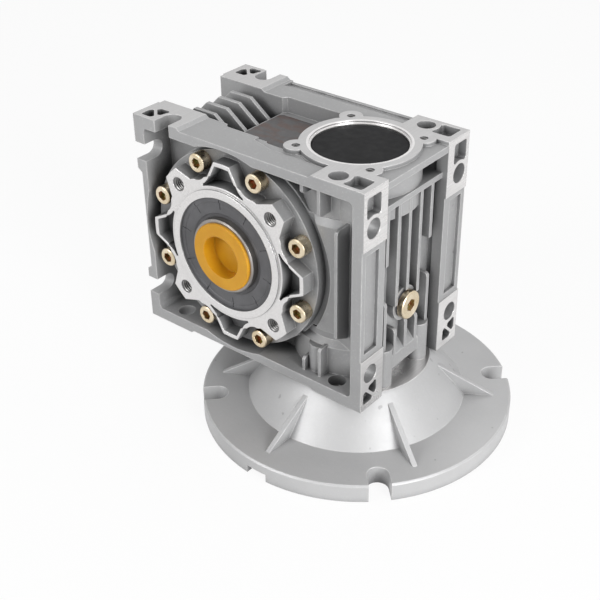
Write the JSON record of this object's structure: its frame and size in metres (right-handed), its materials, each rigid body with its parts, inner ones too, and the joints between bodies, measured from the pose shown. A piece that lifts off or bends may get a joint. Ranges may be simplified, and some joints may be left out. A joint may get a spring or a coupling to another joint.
{
  "type": "worm gear reducer",
  "caption": "Silver cast worm gear reducer standing on its round motor flange, with a hollow keyed output shaft, bolted side cover and cooling fins.",
  "frame": {"origin": "centre of the motor face, on the worm axis", "axes": "+Z along the worm axis, away from the motor; +Y along the output axis, to the side without the bolted cover; -X from the worm towards the output axis"},
  "size_m": [0.1925, 0.165, 0.152],
  "materials": {
    "cast_body": "silver paint over die-cast aluminium, satin, machined pads brighter",
    "zinc_screws": "yellow passivated zinc",
    "steel": "ground and turned steel",
    "bronze": "cut bronze",
    "dark_rubber": "oiled nitrile, semi-matt",
    "black_cap": "smooth black, semi-gloss",
    "yellow_plastic": "soft moulded polyethylene"
  },
  "bodies": {
    "root": {"housing": "cast_body", "output_cover": "cast_body", "cover_o_ring": "dark_rubber", "cover_screws": "zinc_screws", "motor_flange": "cast_body", "flange_screws": "zinc_screws", "lower_bearing_outer": "steel", "upper_bearing_outer": "steel", "input_seal": "dark_rubber", "input_circlip": "steel", "upper_circlip": "steel", "end_cap": "black_cap", "front_bearing_outer": "steel", "rear_bearing_outer": "steel", "front_output_seal": "dark_rubber", "rear_output_seal": "dark_rubber", "oil_plug": "zinc_screws", "oil_plug_washer": "dark_rubber"},
    "worm": {"worm_shaft": "steel", "lower_bearing_inner": "steel", "upper_bearing_inner": "steel"},
    "output": {"output_hub": "steel", "wheel_rim": "bronze", "front_bearing_inner": "steel", "rear_bearing_inner": "steel"},
    "lower_cage": {"lower_bearing_balls": "steel", "lower_bearing_cage": "bronze"},
    "upper_cage": {"upper_bearing_balls": "steel", "upper_bearing_cage": "bronze"},
    "front_cage": {"front_bearing_balls": "steel", "front_bearing_cage": "bronze"},
    "rear_cage": {"rear_bearing_balls": "steel", "rear_bearing_cage": "bronze"},
    "front_plug": {"front_shaft_plug": "yellow_plastic"},
    "rear_plug": {"rear_shaft_plug": "yellow_plastic"}
  },
  "joints": [
    {"name": "wheel_spin", "type": "hinge", "parent": "root", "child": "output", "pos_m": [-0.05, 0, 0.092], "axis": [0, 1, 0], "continuous": true},
    {"name": "worm_spin", "type": "hinge", "parent": "root", "child": "worm", "pos_m": [0, 0, 0.092], "axis": [0, 0, 1], "continuous": true},
    {"name": "lower_cage_spin", "type": "hinge", "parent": "root", "child": "lower_cage", "pos_m": [0, 0, 0.049], "axis": [0, 0, 1], "continuous": true},
    {"name": "upper_cage_spin", "type": "hinge", "parent": "root", "child": "upper_cage", "pos_m": [0, 0, 0.134], "axis": [0, 0, 1], "continuous": true},
    {"name": "front_cage_spin", "type": "hinge", "parent": "root", "child": "front_cage", "pos_m": [-0.05, -0.028, 0.092], "axis": [0, 1, 0], "continuous": true},
    {"name": "rear_cage_spin", "type": "hinge", "parent": "root", "child": "rear_cage", "pos_m": [-0.05, 0.028, 0.092], "axis": [0, 1, 0], "continuous": true},
    {"name": "front_plug_pull", "type": "slide", "parent": "output", "child": "front_plug", "axis": [0, -1, 0], "range_m": [0, 0.1]},
    {"name": "rear_plug_pull", "type": "slide", "parent": "output", "child": "rear_plug", "axis": [0, 1, 0], "range_m": [0, 0.1]}
  ],
  "couplings": [
    {"joint": "worm_spin", "follows": "wheel_spin", "ratio": 30},
    {"joint": "lower_cage_spin", "follows": "wheel_spin", "ratio": 12.333},
    {"joint": "upper_cage_spin", "follows": "wheel_spin", "ratio": 11.463},
    {"joint": "front_cage_spin", "follows": "wheel_spin", "ratio": 0.426},
    {"joint": "rear_cage_spin", "follows": "wheel_spin", "ratio": 0.426}
  ]
}
